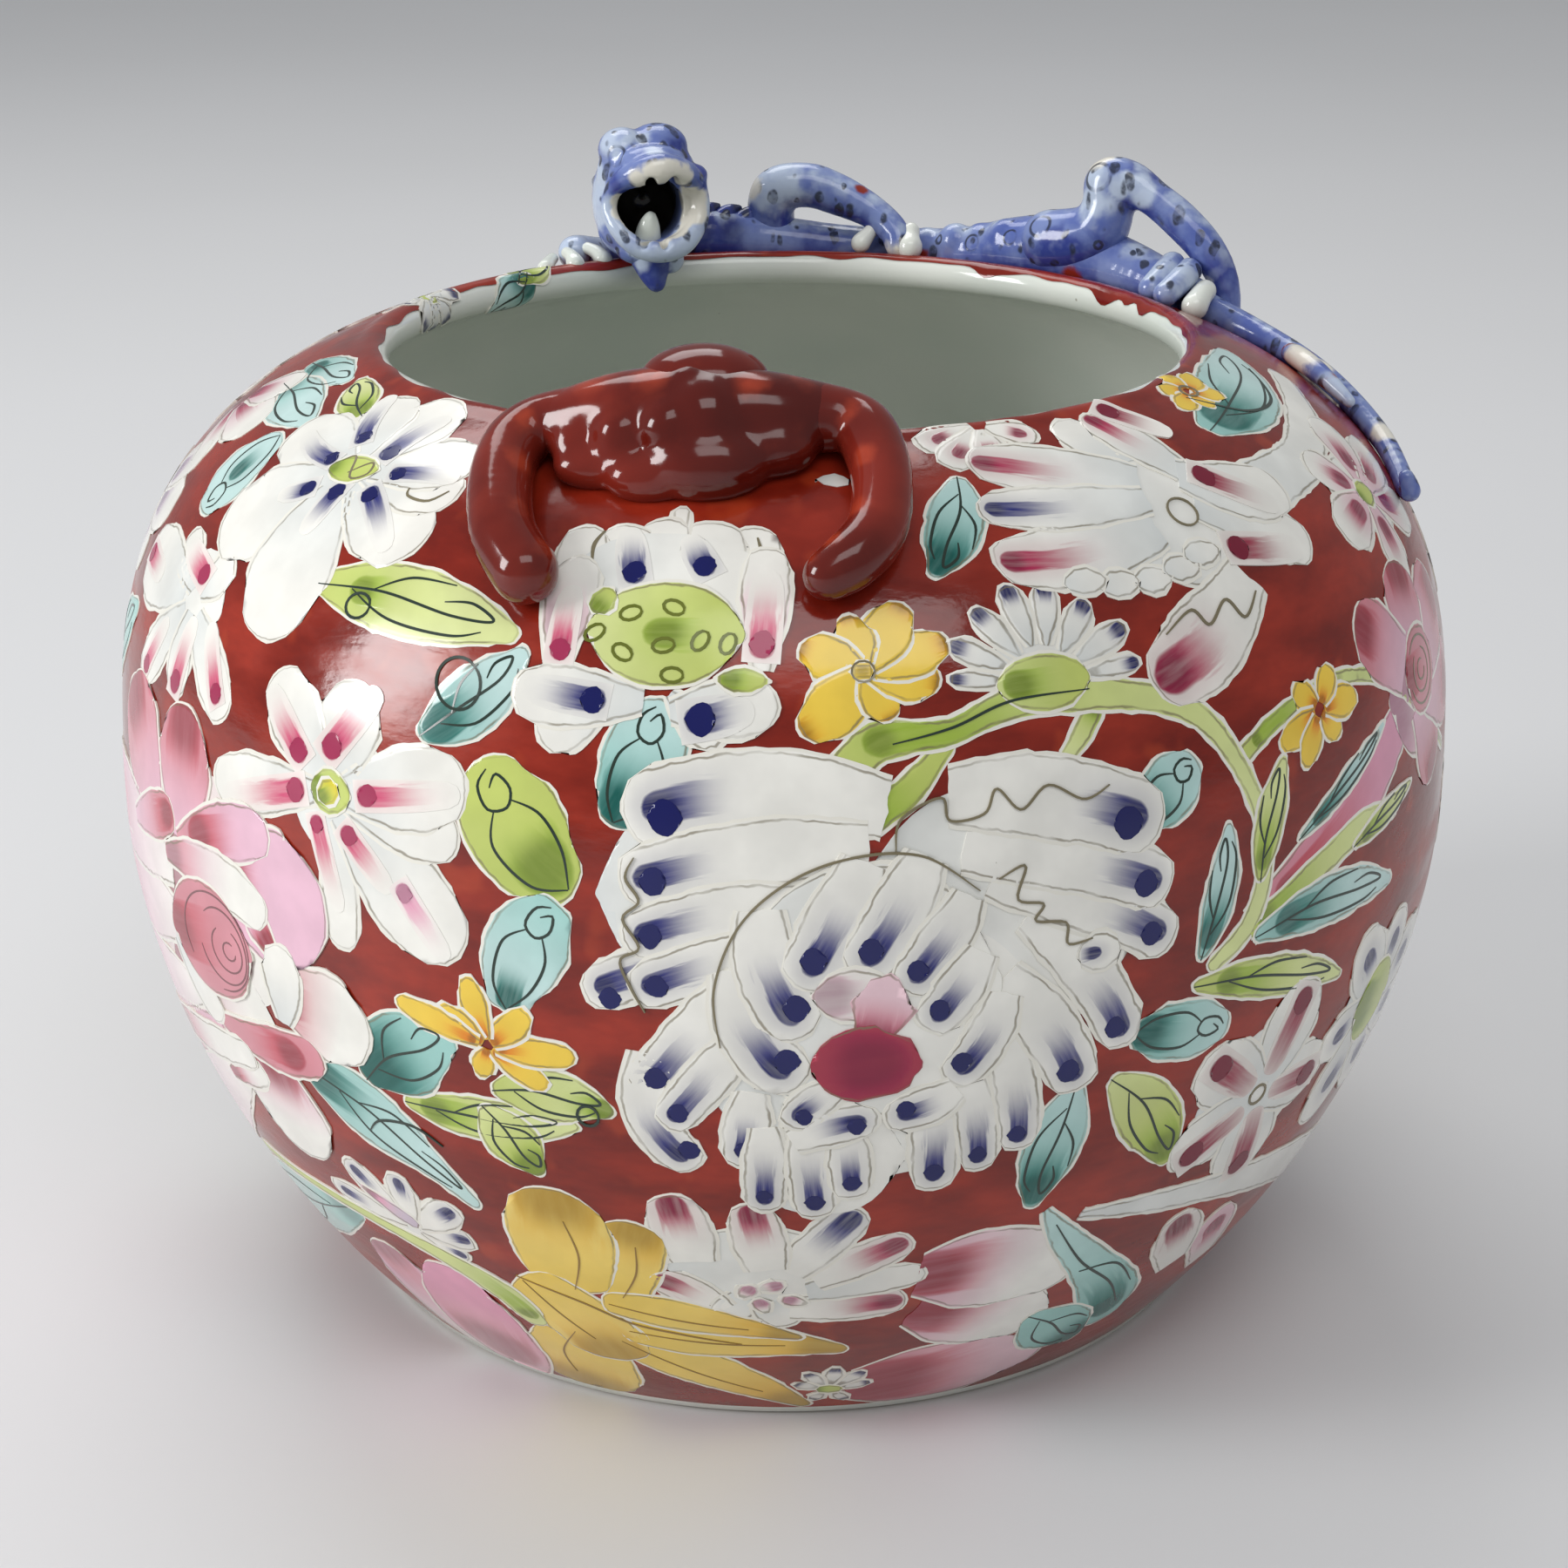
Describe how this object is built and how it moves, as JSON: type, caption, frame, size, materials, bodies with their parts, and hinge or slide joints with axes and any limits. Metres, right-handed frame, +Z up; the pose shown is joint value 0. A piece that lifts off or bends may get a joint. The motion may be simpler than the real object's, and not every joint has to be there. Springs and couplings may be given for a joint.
{
  "type": "brush washer",
  "caption": "Globular porcelain brush washer with an incurved mouth, flowers enamelled on an iron-red ground, a blue dragon on the back of the rim and a red bat over the front.",
  "frame": {"origin": "on the table, under the middle of the foot ring", "axes": "+Z up; -Y towards the front, where the bat hangs over the rim; +X towards the tip of the dragon's tail"},
  "size_m": [0.15, 0.15, 0.1235],
  "materials": {
    "enamelled_porcelain": "white porcelain under a clear glaze, painted outside with overglaze enamels: flowers on a glossy iron-red ground; white glaze inside and on the lip; unglazed foot ring",
    "dragon_blue": "glossy blue enamel, mottled and spotted with dark brush marks, worn pale on the high places",
    "dragon_pale_blue": "glossy pale blue enamel",
    "white_glaze": "glossy white glaze",
    "bat_iron_red": "glossy iron-red enamel, thinner and more orange on the ridges"
  },
  "bodies": {
    "root": {"bowl": "enamelled_porcelain", "dragon_trunk": "dragon_blue", "dragon_hindleg_inner": "dragon_blue", "dragon_hindleg_outer": "dragon_blue", "dragon_foreleg_inner": "dragon_blue", "dragon_foreleg_outer": "dragon_blue", "dragon_tail": "dragon_blue", "dragon_tail_lock": "dragon_pale_blue", "dragon_skull": "dragon_blue", "dragon_lower_jaw": "dragon_blue", "dragon_tongue": "white_glaze", "dragon_beard": "dragon_blue", "dragon_ear_left": "dragon_pale_blue", "dragon_ear_right": "dragon_pale_blue", "dragon_mane_lock_1": "dragon_blue", "dragon_mane_lock_2": "dragon_blue", "dragon_mane_lock_3": "dragon_blue", "dragon_foreleg_inner_claw_1": "white_glaze", "dragon_foreleg_inner_claw_2": "white_glaze", "dragon_foreleg_outer_claw_1": "white_glaze", "dragon_foreleg_outer_claw_2": "white_glaze", "dragon_foreleg_outer_claw_3": "white_glaze", "dragon_hindleg_inner_toe_1": "dragon_pale_blue", "dragon_hindleg_inner_toe_2": "dragon_pale_blue", "dragon_hindleg_inner_claw": "white_glaze", "dragon_hindleg_outer_claw_1": "white_glaze", "dragon_hindleg_outer_claw_2": "white_glaze", "dragon_hindleg_outer_claw_3": "white_glaze", "bat_body": "bat_iron_red", "bat_head": "bat_iron_red", "bat_wing_left": "bat_iron_red", "bat_wing_right": "bat_iron_red", "bat_ear_left": "bat_iron_red", "bat_ear_right": "bat_iron_red"}
  },
  "joints": []
}
